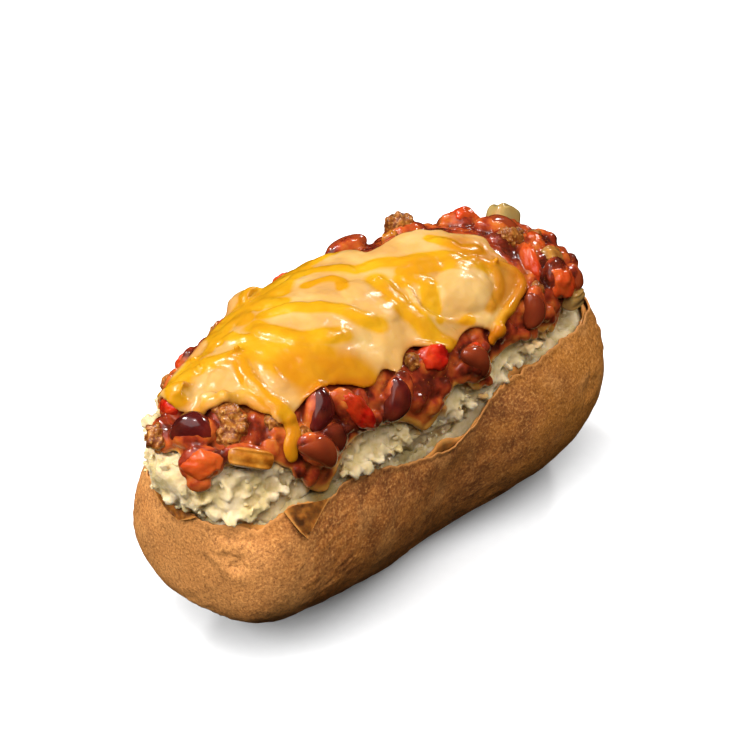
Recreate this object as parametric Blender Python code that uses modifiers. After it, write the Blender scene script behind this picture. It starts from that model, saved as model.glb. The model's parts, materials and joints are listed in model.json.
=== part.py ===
"""A baked potato, split open along the top and loaded with chili and melted cheese.

Metres, +Z up. The potato lies along X with its resting spot on Z = 0. "Near" is the -Y side
and "far" the +Y side. The jacket is the skin left as a bowl below the split, the flesh fills it
and heaps up over the lips, and the chili and the cheese are draped over the heap one on the other.
The beans, tomato, mince and vegetable pieces sit in sockets in the chili.
"""

import bmesh
import bpy
import numpy as np
from mathutils import Matrix, Vector, noise

MM = 0.001

# The potato: half-widths and depth at stations along it, as shares of its half-length
LENGTH = 145 * MM
STATIONS = (-0.95, -0.65, -0.3, 0.05, 0.4, 0.7, 0.95)
NEAR_HALF = (41 * MM, 32 * MM, 29 * MM, 25.5 * MM, 31 * MM, 32 * MM, 32.5 * MM)
FAR_HALF = (32.5 * MM, 31.5 * MM, 33 * MM, 34 * MM, 35 * MM, 36 * MM, 36.5 * MM)
BELLY_DEPTH = (23.5 * MM, 26 * MM, 31.5 * MM, 34 * MM, 31 * MM, 33 * MM, 34.5 * MM)
CROWN = 33 * MM  # height of the closed top above the axis, most of it lost in the split
AXIS_HEIGHT = 32.4 * MM
FLAT_SPOT = 1.3 * MM  # what the belly is flattened by where it lies, which comes to rest on Z = 0
BLUNT = 3.7  # 2 is a round end, more is a blunter one
SKIN = 1.8 * MM
GAP = 0.3 * MM  # kept between touching pieces

# The heap that the flesh and the toppings make, as one blunt dome bowed like the potato
HEAP_CENTRE = Vector((-3 * MM, -2 * MM, 60 * MM))
HEAP_HALF = (71 * MM, 30 * MM, 23.5 * MM)
HEAP_ROOT = 34 * MM  # how far the heap reaches down below its centre, into the jacket
HEAP_BLUNT = 2.2
HEAP_BOW = 7.5 * MM
MOUNDS = (  # (x, y, radius, height) of what rises from the dome, or sinks where the height is negative
    (-28 * MM, -2 * MM, 17 * MM, 1.2 * MM),
    (31 * MM, 4 * MM, 17 * MM, 1.5 * MM),
    (2 * MM, -9 * MM, 15 * MM, -2 * MM),
    (-42 * MM, 22 * MM, 18 * MM, -2 * MM),
    (-12 * MM, 24 * MM, 22 * MM, -1.6 * MM),
)
FILL_HEIGHT = 45.5 * MM  # of the flesh left inside the jacket
CHILI = 4.2 * MM  # thickness on top, which thins to the share CHILI_RIM at the edge
CHILI_RIM = 0.45
CHEESE = 2.8 * MM  # thickness
LAYER_GAP = 0.8 * MM  # GAP plus what facets of unlike size stray from the true curve

SOCKET_ROOM = 3 * GAP  # round a piece, with what the socket's coarser facets cut off
SOCKET_REACH = 2 * MM  # above a piece, through any cheese that meets it
SEAT = 1.5 * MM  # of chili left under a piece

# Angles, in degrees: "down" from the top, and "round" from +X towards +Y (far)
CORNERS = (-180, -150, -120, -90, -60, -30, 0, 30, 60, 90, 120, 150, 180)
CHILI_EDGE = (77, 77, 88, 90, 91, 90, 82, 84, 88, 86, 80, 74, 77)
CHEESE_EDGE = (44, 42, 52, 57, 62, 42, 35, 40, 46, 50, 56, 56, 44)
# Runs past the edge, each (round, reach, half-width)
CHILI_DRIPS = ((-169, 14, 7), (-124, 20, 7), (-93, 15, 5), (-80, 10, 3), (-50, 9, 8), (78, 12, 6), (112, 14, 6))
CHEESE_DRIPS = (
    (-134, 30, 4), (-106, 12, 6), (-80, 13, 5), (-66, 24, 4), (-50, 18, 5),
    (44, 14, 5), (82, 18, 5), (126, 16, 6),
)
# Lumps of flesh that stand out below the chili, each (down, round, height, half-width in degrees)
FLESH_LUMPS = (
    (100, -152, 4.5 * MM, 9), (111, -141, 5.5 * MM, 8), (116, -118, 3 * MM, 7),
    (106, -107, 3 * MM, 6), (100, -84, 3 * MM, 6), (106, -74, 2 * MM, 6), (100, -64, 2.5 * MM, 6),
    (84, 176, 4 * MM, 12), (98, 166, 3 * MM, 12), (96, -170, 2.5 * MM, 9), (86, 148, 3.5 * MM, 9),
    (100, 130, 3 * MM, 8), (95, 98, 3.5 * MM, 8), (104, 84, 2.5 * MM, 7), (100, 60, 3 * MM, 8), (96, 30, 2.5 * MM, 9),
)

# The jacket's torn lip: its height above the floor, and its tears and tongues, each (round, rise, half-width)
LIP_HEIGHT = tuple(h * MM for h in (49.5, 49.5, 51, 47, 51.5, 51, 52, 50, 51, 51.5, 50.5, 49.5, 49.5))
LIP_TEARS = (
    (-138, -5 * MM, 5), (-126, 1.5 * MM, 6), (-96, -4 * MM, 8), (-84, -3 * MM, 5), (-18, 3 * MM, 7),
    (22, 4 * MM, 8), (60, -4 * MM, 6), (98, 2.5 * MM, 7), (124, -3 * MM, 9), (152, 2 * MM, 8),
)
LIP_FLARE = ((-88, 2.5 * MM, 12), (-136, 1.5 * MM, 6), (-20, 1.5 * MM, 9))

# The pieces in the chili, each (down, round, turn, length, width, height, rise): the length runs downhill
# turned by turn degrees towards +round, and rise lifts the piece off the flesh it sits on
BEANS = (
    (63, -178, 110, 11.5, 8, 7.5, 0.3), (82, -125, 54, 12.5, 7, 6.5, 0), (76, -102, -25, 11.5, 7, 7, 0),
    (62, -124, 0, 11.5, 6.5, 7, 0.2), (80, -82, 27, 11, 6.5, 6.5, 0), (76, -60, -40, 9.5, 6.5, 6.5, 0),
    (54, 105, -118, 10.5, 7, 6.5, 0), (57, 72, -70, 12.5, 7.5, 6.5, 0), (49, 4, -14, 10.5, 7.5, 6.5, 0),
)
TOMATOES = (
    (60, 162, 118, 9, 7.5, 6.5, 0.5), (72, -112, 44, 14.5, 6, 6, 0.5), (65, -89, 72, 9.5, 7.5, 6.5, 0),
    (60, 32, -50, 10, 7, 6.5, 0.5), (64, 90, 178, 11, 5, 4.5, 0.3), (57, -38, -81, 12, 5, 5.5, 0),
    (75, -43, -22, 11, 8.5, 6.5, 0.4), (76, -166, 106, 11, 8, 5.5, 0),
)
MINCE = (
    (55, -162, 60, 13, 9, 7.5, 0.5), (75, 168, 50, 9, 7, 6.5, 0), (56, 54, -60, 11, 8, 7.5, 1),
    (46, -14, 0, 9, 7.5, 7, 0),
)
ONIONS = (
    (74, -147, 91, 11.5, 5, 4.5, 0.8), (66, 18, -10, 9, 7.5, 7.5, 0.5),
)


def through(knots, values, t):
    """The smooth curve through the knots at each t, level beyond the end knots."""
    knots, values = np.array(knots, float), np.array(values, float)
    t = np.clip(t, knots[0], knots[-1])
    i = np.clip(np.searchsorted(knots, t, "right") - 1, 0, len(knots) - 2)
    slope = np.gradient(values, knots)
    span = knots[i + 1] - knots[i]
    f = (t - knots[i]) / span
    start = values[i] * (1 + 2 * f) + slope[i] * span * f
    end = values[i + 1] * (3 - 2 * f) - slope[i + 1] * span * (1 - f)
    return start * (1 - f) ** 2 + end * f**2


def smooth_step(low, high, t):
    f = np.clip((t - low) / (high - low), 0, 1)
    return f * f * (3 - 2 * f)


def signed_power(base, exponent):
    return np.sign(base) * np.abs(base) ** exponent


def bumps(round_angle, places):
    """The sum of soft bumps, each (round, reach, half-width)."""
    total = np.zeros_like(round_angle)
    for place, reach, half_width in places:
        away = (round_angle - place + 180) % 360 - 180
        total += reach * np.exp(-((away / half_width) ** 2))
    return total


def edge_down(corners, drips, round_angle):
    """How far down an outline lies at each angle round, in degrees."""
    return through(CORNERS, corners, round_angle) + bumps(round_angle, drips)


def angles_of(ball):
    """Degrees down from +Z and round from +X of each point of a unit ball."""
    down = np.degrees(np.arccos(np.clip(ball[:, 2], -1, 1)))
    return down, np.degrees(np.arctan2(ball[:, 1], ball[:, 0]))


def ball_point(down, round_angle):
    down, round_angle = np.radians(down), np.radians(round_angle)
    across = np.sin(down)
    return np.stack([across * np.cos(round_angle), across * np.sin(round_angle), np.cos(down)], -1)


def potato_points(ball, inset=0.0):
    """A unit ball blown out to the potato's sections, with its outside moved in by inset."""
    ring = np.maximum(np.hypot(ball[:, 1], ball[:, 2]), 1e-6)
    station = ball[:, 0]
    full = (1 - np.minimum(np.abs(station), 1) ** BLUNT) ** (1 / BLUNT) / ring
    near, far, belly = (through(STATIONS, half, station) - inset for half in (NEAR_HALF, FAR_HALF, BELLY_DEPTH))
    x = (LENGTH / 2 - inset) * station
    y = np.where(ball[:, 1] < 0, near, far) * ball[:, 1] * full
    z = AXIS_HEIGHT + np.where(ball[:, 2] < 0, belly, CROWN - inset) * ball[:, 2] * full
    return np.stack([x, y, np.maximum(z, FLAT_SPOT + inset)], -1)


def lip_down(round_angle, rise=0.0):
    """How far down the torn lip lies at each angle round, found by halving."""
    height = through(CORNERS, LIP_HEIGHT, round_angle) + bumps(round_angle, LIP_TEARS) + rise
    low, high = np.full_like(round_angle, 20), np.full_like(round_angle, 89)
    for _ in range(16):
        middle = (low + high) / 2
        above = potato_points(ball_point(middle, round_angle))[:, 2] > height
        low, high = np.where(above, middle, low), np.where(above, high, middle)
    return high


def heap_points(down, round_angle, lift):
    """Points of the heap's dome at those angles, raised by lift along its normals."""
    ball = ball_point(down, round_angle)
    half = np.tile(HEAP_HALF, (len(ball), 1))
    half[ball[:, 2] < 0, 2] = HEAP_ROOT
    level = signed_power(ball[:, :2], 2 / HEAP_BLUNT)
    shape = np.concatenate([level, ball[:, 2:]], axis=1)
    normal = ball / half
    normal /= np.linalg.norm(normal, axis=1, keepdims=True)
    points = shape * half + np.array(HEAP_CENTRE) + normal * np.reshape(lift, (-1, 1))
    points[:, 1] += HEAP_BOW * (1 - shape[:, 0] ** 2)
    for x, y, radius, height in MOUNDS:
        away = np.hypot(points[:, 0] - x, points[:, 1] - y) / radius
        points[:, 2] += height * np.exp(-(away**2))
    return points


def flesh_lift(down):
    """The flesh lies under the dome by both layers on top, and meets it well below them."""
    return -(CHILI + CHEESE + 2 * LAYER_GAP) * (1 - smooth_step(45, 112, down))


def chili_underside(down):
    return flesh_lift(down) + LAYER_GAP


def chili_thickness(down):
    return CHILI * (1 - (1 - CHILI_RIM) * smooth_step(72, 102, down))


def cheese_underside(down):
    return chili_underside(down) + chili_thickness(down) + LAYER_GAP


def cheese_thickness(down):
    return np.full_like(down, CHEESE)


def lump_lift(down, round_angle):
    """The flesh's lumps, which fade out under the chili."""
    total = np.zeros_like(down)
    for place, side, height, half_width in FLESH_LUMPS:
        away = (round_angle - side + 180) % 360 - 180
        total += height * np.exp(-((away**2 + (down - place) ** 2) / half_width**2))
    edge = edge_down(CHILI_EDGE, CHILI_DRIPS, round_angle)
    return total * smooth_step(edge + 6, edge + 16, down)


def new_ball(name, segments, rings, even=1.0):
    """A unit ball as a mesh object with its points. Its meridians crowd to the sides if even > 1."""
    mesh = bpy.data.meshes.new(name)
    bm = bmesh.new()
    bmesh.ops.create_uvsphere(bm, u_segments=segments, v_segments=rings, radius=1)
    bm.to_mesh(mesh)
    bm.free()
    ball = np.array([v.co for v in mesh.vertices])
    across = np.hypot(ball[:, 0], ball[:, 1])
    turned = np.arctan2(even * ball[:, 1], ball[:, 0])
    ball[:, 0], ball[:, 1] = across * np.cos(turned), across * np.sin(turned)
    return bpy.data.objects.new(name, mesh), ball


def set_points(obj, points):
    obj.data.vertices.foreach_set("co", np.ascontiguousarray(points, np.float32).ravel())
    obj.data.update()


def finish(obj, group, material):
    """Adds a finished piece to its group, with its material and smooth shading."""
    group.objects.link(obj)
    if material:
        obj.data.materials.append(material)
        obj.data.shade_smooth()
    else:
        obj.hide_render = True
        obj.display_type = "WIRE"
    return obj


def boolean(obj, operation, other):
    """Joins or cuts a piece with another object, or with every object of a collection."""
    step = obj.modifiers.new(operation.lower(), "BOOLEAN")
    step.operation = operation
    step.solver = "EXACT"
    if isinstance(other, bpy.types.Collection):
        step.operand_type = "COLLECTION"
        step.collection = other
    else:
        step.object = other


def make_bowl(name, group, material=None, outset=0.0):
    """The skin as a bowl: the lower half of a ball, stretched up to the torn lip, with a wall."""
    obj, ball = new_ball(name, 48, 14)
    down, round_angle = angles_of(ball)
    lip = lip_down(round_angle, outset)
    below = np.clip((down - 90) / 90, 0, 1)
    points = potato_points(ball_point(lip + (180 - lip) * below, round_angle), -outset)
    flare = bumps(round_angle, LIP_FLARE) * (1 - smooth_step(0, 0.2, below))
    points[:, :2] += ball[:, :2] * flare[:, None]
    set_points(obj, points)
    bm = bmesh.new()
    bm.from_mesh(obj.data)
    bmesh.ops.delete(bm, geom=[v for v, p in zip(bm.verts, ball) if p[2] > 1e-6], context="VERTS")
    bm.to_mesh(obj.data)
    bm.free()
    wall = obj.modifiers.new("wall", "SOLIDIFY")
    wall.thickness = SKIN + 2 * outset
    wall.offset = -1
    return finish(obj, group, material)


def make_flesh(group, cutters, material):
    """The flesh in the jacket, joined with the heap, and cut clear of the jacket."""
    fill, ball = new_ball("flesh_in_the_jacket", 36, 10)
    points = potato_points(ball, SKIN + 4 * GAP)
    points[:, 2] = np.minimum(points[:, 2], FILL_HEIGHT)
    set_points(fill, points)
    finish(fill, cutters, None)
    heap, ball = new_ball("flesh", 50, 14, even=1.5)
    down, round_angle = angles_of(ball)
    set_points(heap, heap_points(down, round_angle, flesh_lift(down) + lump_lift(down, round_angle)))
    boolean(heap, "UNION", fill)
    boolean(heap, "DIFFERENCE", make_bowl("room_for_the_jacket", cutters, outset=1.5 * GAP))
    return finish(heap, group, material)


def make_draped(name, group, material, segments, edge, drips, underside, thickness):
    """A soft sheet on the heap: a flattened ball whose rim follows the outline."""
    obj, ball = new_ball(name, segments, 14, even=1.5)
    reach = np.minimum(np.hypot(ball[:, 0], ball[:, 1]), 1)
    reach = (reach + np.arcsin(reach) * 2 / np.pi) / 2  # rings crowd a little towards the rim
    round_angle = np.degrees(np.arctan2(ball[:, 1], ball[:, 0]))
    down = reach * edge_down(edge, drips, round_angle)
    full = (1 - reach**6) ** (1 / 6)
    depth = thickness(down)
    rim = 0.2 * depth
    lift = underside(down) + np.where(ball[:, 2] > 0, rim + (depth - rim) * full, rim * (1 - full))
    set_points(obj, heap_points(down, round_angle, lift))
    return finish(obj, group, material)


def seat(down, round_angle, turn, lift):
    """The matrix that stands a piece on the heap: its place, and its axes turned about the normal."""
    corners = heap_points(np.array([down, down + 1.0, down]), np.array([round_angle] * 2 + [round_angle + 1.0]), lift)
    place, downhill, sideways = (Vector(corner) for corner in corners)
    normal = (downhill - place).cross(sideways - place).normalized()
    along = Matrix.Rotation(np.radians(turn), 3, normal) @ (downhill - place).normalized()
    axes = Matrix((along, normal.cross(along), normal)).transposed().to_4x4()
    return Matrix.Translation(place) @ axes


def bean_shape(ball, half, seed):
    points = ball * half
    points[:, 1] += 0.25 * half[1] * (1 - 2 * ball[:, 0] ** 2)  # the kidney's bend
    return points


def lump_shape(ball, half, seed, roughness):
    """A boxy lump with dents and knobs: roughness is their share of its size."""
    points = signed_power(ball, 0.8)
    knobs = [noise.noise(Vector((1.7 * x, 1.7 * y, 0.5 * z + 3.3 * seed))) for x, y, z in ball]
    return points * half * (1 + roughness * np.reshape(knobs, (-1, 1)))


def strip_shape(ball, half, seed):
    points = signed_power(ball, 0.55) * half
    points[:, 2] -= 0.3 * half[2] * ball[:, 0] ** 2
    return points


SHAPES = {
    "bean": bean_shape,
    "tomato": lambda ball, half, seed: lump_shape(ball, half, seed, 0.3),
    "mince": lambda ball, half, seed: lump_shape(ball, half, seed + 20, 0.3),
    "onion": strip_shape,
}


def make_pieces(kind, table, group, sockets, material):
    """The pieces of one kind, and for each a cutter for its socket."""
    for number, (down, round_angle, turn, length, width, height, rise) in enumerate(table, 1):
        half = np.array((length, width, height)) * MM / 2
        matrix = seat(down, round_angle, turn, chili_underside(down) + SEAT + rise * MM + half[2])
        obj, ball = new_ball(f"{kind}_{number}", 8, 6)
        set_points(obj, SHAPES[kind](ball, half, number))
        obj.matrix_world = matrix
        finish(obj, group, material)
        socket, ball = new_ball(f"room_for_{kind}_{number}", 8, 4)
        points = SHAPES[kind](ball, half + SOCKET_ROOM, number)
        points[:, 2] *= np.where(ball[:, 2] > 0, 1 + SOCKET_REACH / half[2], 1)
        set_points(socket, points)
        socket.matrix_world = matrix
        finish(socket, sockets, None)


def material_of(name, colour, roughness):
    material = bpy.data.materials.new(name)
    material.use_nodes = True
    shader = material.node_tree.nodes["Principled BSDF"]
    shader.inputs["Base Color"].default_value = (*colour, 1)
    shader.inputs["Roughness"].default_value = roughness
    return material


def stand_on_the_origin(collections):
    """Hangs everything on one empty, which brings the middle of the whole's base to the origin."""
    stand = bpy.data.objects.new("middle", None)
    collections[0].objects.link(stand)
    bpy.context.view_layer.update()
    graph = bpy.context.evaluated_depsgraph_get()
    pieces = [obj.evaluated_get(graph) for obj in collections[0].objects if obj.type == "MESH"]
    points = np.array([obj.matrix_world @ v.co for obj in pieces for v in obj.data.vertices])
    low, high = points.min(axis=0), points.max(axis=0)
    stand.location = (-(low[0] + high[0]) / 2, -(low[1] + high[1]) / 2, -low[2])
    for collection in collections:
        for obj in collection.objects:
            if obj is not stand:
                obj.parent = stand


def main():
    for obj in list(bpy.data.objects):
        bpy.data.objects.remove(obj)
    group, cutters, sockets = (bpy.data.collections.new(name) for name in ("baked_potato", "cutters", "sockets"))
    for collection in (group, cutters, sockets):
        bpy.context.scene.collection.children.link(collection)
    make_bowl("jacket", group, material_of("baked skin", (0.25, 0.13, 0.06), 0.6))
    make_flesh(group, cutters, material_of("fluffy flesh", (0.8, 0.72, 0.42), 0.55))
    for kind, table, colour, roughness in (
        ("bean", BEANS, (0.2, 0.03, 0.02), 0.2),
        ("tomato", TOMATOES, (0.5, 0.04, 0.01), 0.2),
        ("mince", MINCE, (0.25, 0.1, 0.04), 0.5),
        ("onion", ONIONS, (0.5, 0.3, 0.1), 0.3),
    ):
        make_pieces(kind, table, group, sockets, material_of(f"cooked {kind}", colour, roughness))
    for name, segments, edge, drips, underside, thickness, colour, roughness in (
        ("chili", 54, CHILI_EDGE, CHILI_DRIPS, chili_underside, chili_thickness, (0.3, 0.04, 0.01), 0.2),
        ("cheese", 48, CHEESE_EDGE, CHEESE_DRIPS, cheese_underside, cheese_thickness, (0.9, 0.5, 0.08), 0.25),
    ):
        material = material_of(f"{name} layer", colour, roughness)
        sheet = make_draped(name, group, material, segments, edge, drips, underside, thickness)
        boolean(sheet, "DIFFERENCE", sockets)
    stand_on_the_origin((group, cutters, sockets))


main()
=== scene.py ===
# A loaded baked potato: split along the top, heaped with fluffy flesh, bean chili and melted cheese.
# Shapes are worked out in millimetres on the potato's own axes, then moved onto the frame's solids.

import json
import math

import bmesh
import bpy
import numpy as np
from mathutils import Matrix, Vector, noise
from mathutils.bvhtree import BVHTree
from mathutils.kdtree import KDTree

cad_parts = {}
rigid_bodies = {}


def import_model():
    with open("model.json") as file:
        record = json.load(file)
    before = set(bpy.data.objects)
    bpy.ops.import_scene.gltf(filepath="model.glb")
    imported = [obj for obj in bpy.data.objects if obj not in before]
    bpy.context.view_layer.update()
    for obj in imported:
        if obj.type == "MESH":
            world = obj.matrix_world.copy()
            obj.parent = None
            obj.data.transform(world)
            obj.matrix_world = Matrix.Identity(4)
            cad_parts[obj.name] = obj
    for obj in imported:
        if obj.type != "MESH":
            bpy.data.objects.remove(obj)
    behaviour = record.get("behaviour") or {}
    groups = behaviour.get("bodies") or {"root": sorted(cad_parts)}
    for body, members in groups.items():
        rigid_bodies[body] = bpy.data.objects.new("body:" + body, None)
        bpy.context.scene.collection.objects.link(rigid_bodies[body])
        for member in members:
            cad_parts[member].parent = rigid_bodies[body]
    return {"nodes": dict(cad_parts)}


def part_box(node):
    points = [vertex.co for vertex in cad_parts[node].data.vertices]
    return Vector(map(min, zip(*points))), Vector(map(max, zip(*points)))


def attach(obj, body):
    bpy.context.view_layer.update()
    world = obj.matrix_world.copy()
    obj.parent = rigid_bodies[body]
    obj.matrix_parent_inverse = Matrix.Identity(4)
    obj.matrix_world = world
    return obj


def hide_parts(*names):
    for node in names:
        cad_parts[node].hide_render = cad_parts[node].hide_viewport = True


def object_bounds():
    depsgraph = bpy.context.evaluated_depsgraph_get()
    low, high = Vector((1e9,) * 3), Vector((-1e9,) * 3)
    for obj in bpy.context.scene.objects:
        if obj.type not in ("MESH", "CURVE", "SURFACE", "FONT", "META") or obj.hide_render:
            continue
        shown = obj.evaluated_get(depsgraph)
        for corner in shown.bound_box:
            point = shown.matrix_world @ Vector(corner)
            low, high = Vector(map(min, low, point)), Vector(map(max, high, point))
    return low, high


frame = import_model()
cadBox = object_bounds()
cadNodes = frame["nodes"]
rng = np.random.default_rng(7)

potato = {
    "length": 145.0,
    "stations": (-0.95, -0.65, -0.3, 0.05, 0.4, 0.7, 0.95),  # shares of the half-length
    "nearHalf": (41, 32, 29, 25.5, 31, 32, 32.5),
    "farHalf": (32.5, 31.5, 33, 34, 35, 36, 36.5),
    "bellyDepth": (23.5, 26, 31.5, 34, 31, 33, 34.5),
    "crown": 33.0,
    "axisHeight": 32.4,
    "flatSpot": 1.3,  # flattened where it lies
    "blunt": 3.7,
}

heap = {
    "centre": (-3.0, -2.0, 60.0),
    "half": (71.0, 30.0, 23.5),
    "root": 34.0,
    "blunt": 2.2,
    "bow": 7.5,
    "mounds": (  # x, y, radius, height
        (-28, -2, 17, 1.2), (31, 4, 17, 1.5), (2, -9, 15, -2), (-42, 22, 18, -2), (-12, 24, 22, -1.6),
    ),
    "chili": 4.2,
    "cheese": 2.8,
    "layerGap": 0.8,
}

corners = tuple(range(-180, 181, 30))  # degrees round from +X, where the outlines below are given


# ---- shapes

def through(knots, values, t):
    knots, values = np.array(knots, float), np.array(values, float)
    t = np.clip(t, knots[0], knots[-1])
    i = np.clip(np.searchsorted(knots, t, "right") - 1, 0, len(knots) - 2)
    slope = np.gradient(values, knots)
    span = knots[i + 1] - knots[i]
    f = (t - knots[i]) / span
    start = values[i] * (1 + 2 * f) + slope[i] * span * f
    end = values[i + 1] * (3 - 2 * f) - slope[i + 1] * span * (1 - f)
    return start * (1 - f) ** 2 + end * f**2


def smoothStep(low, high, t):
    f = np.clip((t - low) / (high - low), 0, 1)
    return f * f * (3 - 2 * f)


def signedPower(base, exponent):
    return np.sign(base) * np.abs(base) ** exponent


def turnedFrom(angle, place):
    return (angle - place + 180) % 360 - 180


def softBumps(roundAngle, places):
    total = np.zeros_like(roundAngle)
    for place, reach, halfWidth in places:
        total += reach * np.exp(-((turnedFrom(roundAngle, place) / halfWidth) ** 2))
    return total


def ballPoint(down, roundAngle):
    down, roundAngle = np.radians(down), np.radians(roundAngle)
    across = np.sin(down)
    return np.stack([across * np.cos(roundAngle), across * np.sin(roundAngle), np.cos(down)], -1)


def ballAngles(ball):
    down = np.degrees(np.arccos(np.clip(ball[:, 2], -1, 1)))
    return down, np.degrees(np.arctan2(ball[:, 1], ball[:, 0]))


def potatoPoints(ball, inset=0.0):
    ring = np.maximum(np.hypot(ball[:, 1], ball[:, 2]), 1e-6)
    station = ball[:, 0]
    full = (1 - np.minimum(np.abs(station), 1) ** potato["blunt"]) ** (1 / potato["blunt"]) / ring
    near, far, belly = (
        through(potato["stations"], potato[side], station) - inset for side in ("nearHalf", "farHalf", "bellyDepth")
    )
    x = (potato["length"] / 2 - inset) * station
    y = np.where(ball[:, 1] < 0, near, far) * ball[:, 1] * full
    up = np.where(ball[:, 2] < 0, belly, potato["crown"] - inset)
    z = potato["axisHeight"] + up * ball[:, 2] * full
    return np.stack([x, y, np.maximum(z, potato["flatSpot"] + inset)], -1)


def heapPoints(down, roundAngle, lift):
    ball = ballPoint(down, roundAngle)
    half = np.tile(heap["half"], (len(ball), 1))
    half[ball[:, 2] < 0, 2] = heap["root"]
    shape = np.concatenate([signedPower(ball[:, :2], 2 / heap["blunt"]), ball[:, 2:]], axis=1)
    normal = ball / half
    normal /= np.linalg.norm(normal, axis=1, keepdims=True)
    points = shape * half + np.array(heap["centre"]) + normal * np.reshape(lift, (-1, 1))
    points[:, 1] += heap["bow"] * (1 - shape[:, 0] ** 2)
    for x, y, radius, height in heap["mounds"]:
        away = np.hypot(points[:, 0] - x, points[:, 1] - y) / radius
        points[:, 2] += height * np.exp(-(away**2))
    return points


def fleshLift(down):
    return -(heap["chili"] + heap["cheese"] + 2 * heap["layerGap"]) * (1 - smoothStep(45, 112, down))


def chiliDepth(down):
    return heap["chili"] * (1 - 0.55 * smoothStep(72, 102, down))


def grain(points, size, seed=0, octaves=1):
    # one noise value for each point: size is the width of its lumps in millimetres
    shift = Vector((seed * 17.3, seed * 5.1, seed * 9.7))
    if octaves == 1:
        return np.array([noise.noise(Vector(p) / size + shift) for p in points])
    return np.array([noise.fractal(Vector(p) / size + shift, 0.8, 2.1, octaves) for p in points])


def ringFaces(rings, around):
    # quads between rings of points, each ring closed
    i, j = np.meshgrid(np.arange(rings - 1), np.arange(around), indexing="ij")
    k = (j + 1) % around
    quads = np.stack([i * around + j, i * around + k, (i + 1) * around + k, (i + 1) * around + j], -1)
    return quads.reshape(-1, 4)


def closedRings(rings, around, top, bottom):
    # faces for rings with a point on top and a point at the bottom, which are the last two points
    faces = ringFaces(rings, around).tolist()
    last = rings * around
    for j in range(around):
        k = (j + 1) % around
        if top:
            faces.append([last, k, j])
        if bottom:
            faces.append([last + (1 if top else 0), (rings - 1) * around + j, (rings - 1) * around + k])
    return faces


# The frame's solids stand where model.glb has them: the potato's own axes are shifted by this much
bareBall = ballPoint(*(a.ravel() for a in np.meshgrid(np.arange(60, 121, 2.0), np.arange(-180, 180, 2.0))))
bareX = potatoPoints(bareBall)[:, 0]
jacketLow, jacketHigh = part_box("jacket")
heapBase = {"x": (jacketLow[0] + jacketHigh[0]) * 500 - (bareX.min() + bareX.max()) / 2, "z": -potato["flatSpot"]}
cheeseLow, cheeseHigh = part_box("cheese")
shift = np.array([heapBase["x"], -2.7, heapBase["z"]])


def toFrame(points):
    return (np.asarray(points) + shift) * 0.001


def piece(name, points, faces, material, smooth=True, values=None):
    mesh = bpy.data.meshes.new(name)
    mesh.from_pydata(toFrame(points).tolist(), [], faces if isinstance(faces, list) else faces.tolist())
    mesh.update()
    obj = bpy.data.objects.new(name, mesh)
    bpy.context.scene.collection.objects.link(obj)
    if smooth:
        mesh.shade_smooth()
    for key, amounts in (values or {}).items():
        layer = mesh.attributes.new(key, "FLOAT", "POINT")
        layer.data.foreach_set("value", np.ascontiguousarray(amounts, np.float32))
    if material:
        mesh.materials.append(material)
    return obj


def pointsOf(obj):
    co = np.empty(len(obj.data.vertices) * 3, np.float32)
    obj.data.vertices.foreach_get("co", co)
    return co.reshape(-1, 3).astype(float) * 1000 - shift


def normalsOf(obj):
    normal = np.empty(len(obj.data.vertices) * 3, np.float32)
    obj.data.vertex_normals.foreach_get("vector", normal)
    return normal.reshape(-1, 3)


def movePoints(obj, points):
    obj.data.vertices.foreach_set("co", np.ascontiguousarray(toFrame(points), np.float32).ravel())
    obj.data.update()


def setValue(obj, key, amounts):
    layer = obj.data.attributes.get(key) or obj.data.attributes.new(key, "FLOAT", "POINT")
    layer.data.foreach_set("value", np.ascontiguousarray(amounts, np.float32))


def applyModifiers(obj):
    graph = bpy.context.evaluated_depsgraph_get()
    mesh = bpy.data.meshes.new_from_object(obj.evaluated_get(graph))
    obj.modifiers.clear()
    old = obj.data
    obj.data = mesh
    bpy.data.meshes.remove(old)


def meltTogether(obj, voxel, smoothing):
    # joins overlapping shells into one skin, and lets it slump a little
    remesh = obj.modifiers.new("melt", "REMESH")
    remesh.mode = "VOXEL"
    remesh.voxel_size = voxel * 0.001
    soften = obj.modifiers.new("soften", "SMOOTH")
    soften.factor = 0.5
    soften.iterations = smoothing
    applyModifiers(obj)
    obj.data.shade_smooth()


def joinShells(shells):
    # one list of points and faces out of many
    points, faces, start = [], [], 0
    for shellPoints, shellFaces in shells:
        points.append(shellPoints)
        faces.extend([[i + start for i in face] for face in shellFaces])
        start += len(shellPoints)
    return np.concatenate(points), faces


def unitBall(subdivisions):
    bm = bmesh.new()
    bmesh.ops.create_icosphere(bm, subdivisions=subdivisions, radius=1)
    points = np.array([v.co[:] for v in bm.verts])
    faces = [[v.index for v in f.verts] for f in bm.faces]
    bm.free()
    return points, faces


balls = {n: unitBall(n) for n in (1, 2, 3, 4, 5)}


def heapAngles(points):
    # the angles down and round at which points lie on the heap
    local = points - np.array(heap["centre"])
    x = np.clip(local[:, 0] / heap["half"][0], -1, 1)
    y = (local[:, 1] - heap["bow"] * (1 - x**2)) / heap["half"][1]
    z = local[:, 2] / np.where(local[:, 2] < 0, heap["root"], heap["half"][2])
    flat = signedPower(np.stack([x, y], -1), heap["blunt"] / 2)
    across = np.hypot(flat[:, 0], flat[:, 1])
    return np.degrees(np.arctan2(across, z)), np.degrees(np.arctan2(flat[:, 1], flat[:, 0]))


def liftOver(points, down, roundAngle):
    # how far points stand out from the flesh's smooth surface
    ball = ballPoint(down, roundAngle)
    half = np.tile(heap["half"], (len(ball), 1))
    half[ball[:, 2] < 0, 2] = heap["root"]
    normal = ball / half
    normal /= np.linalg.norm(normal, axis=1, keepdims=True)
    return ((points - heapPoints(down, roundAngle, fleshLift(down))) * normal).sum(1)


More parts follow.
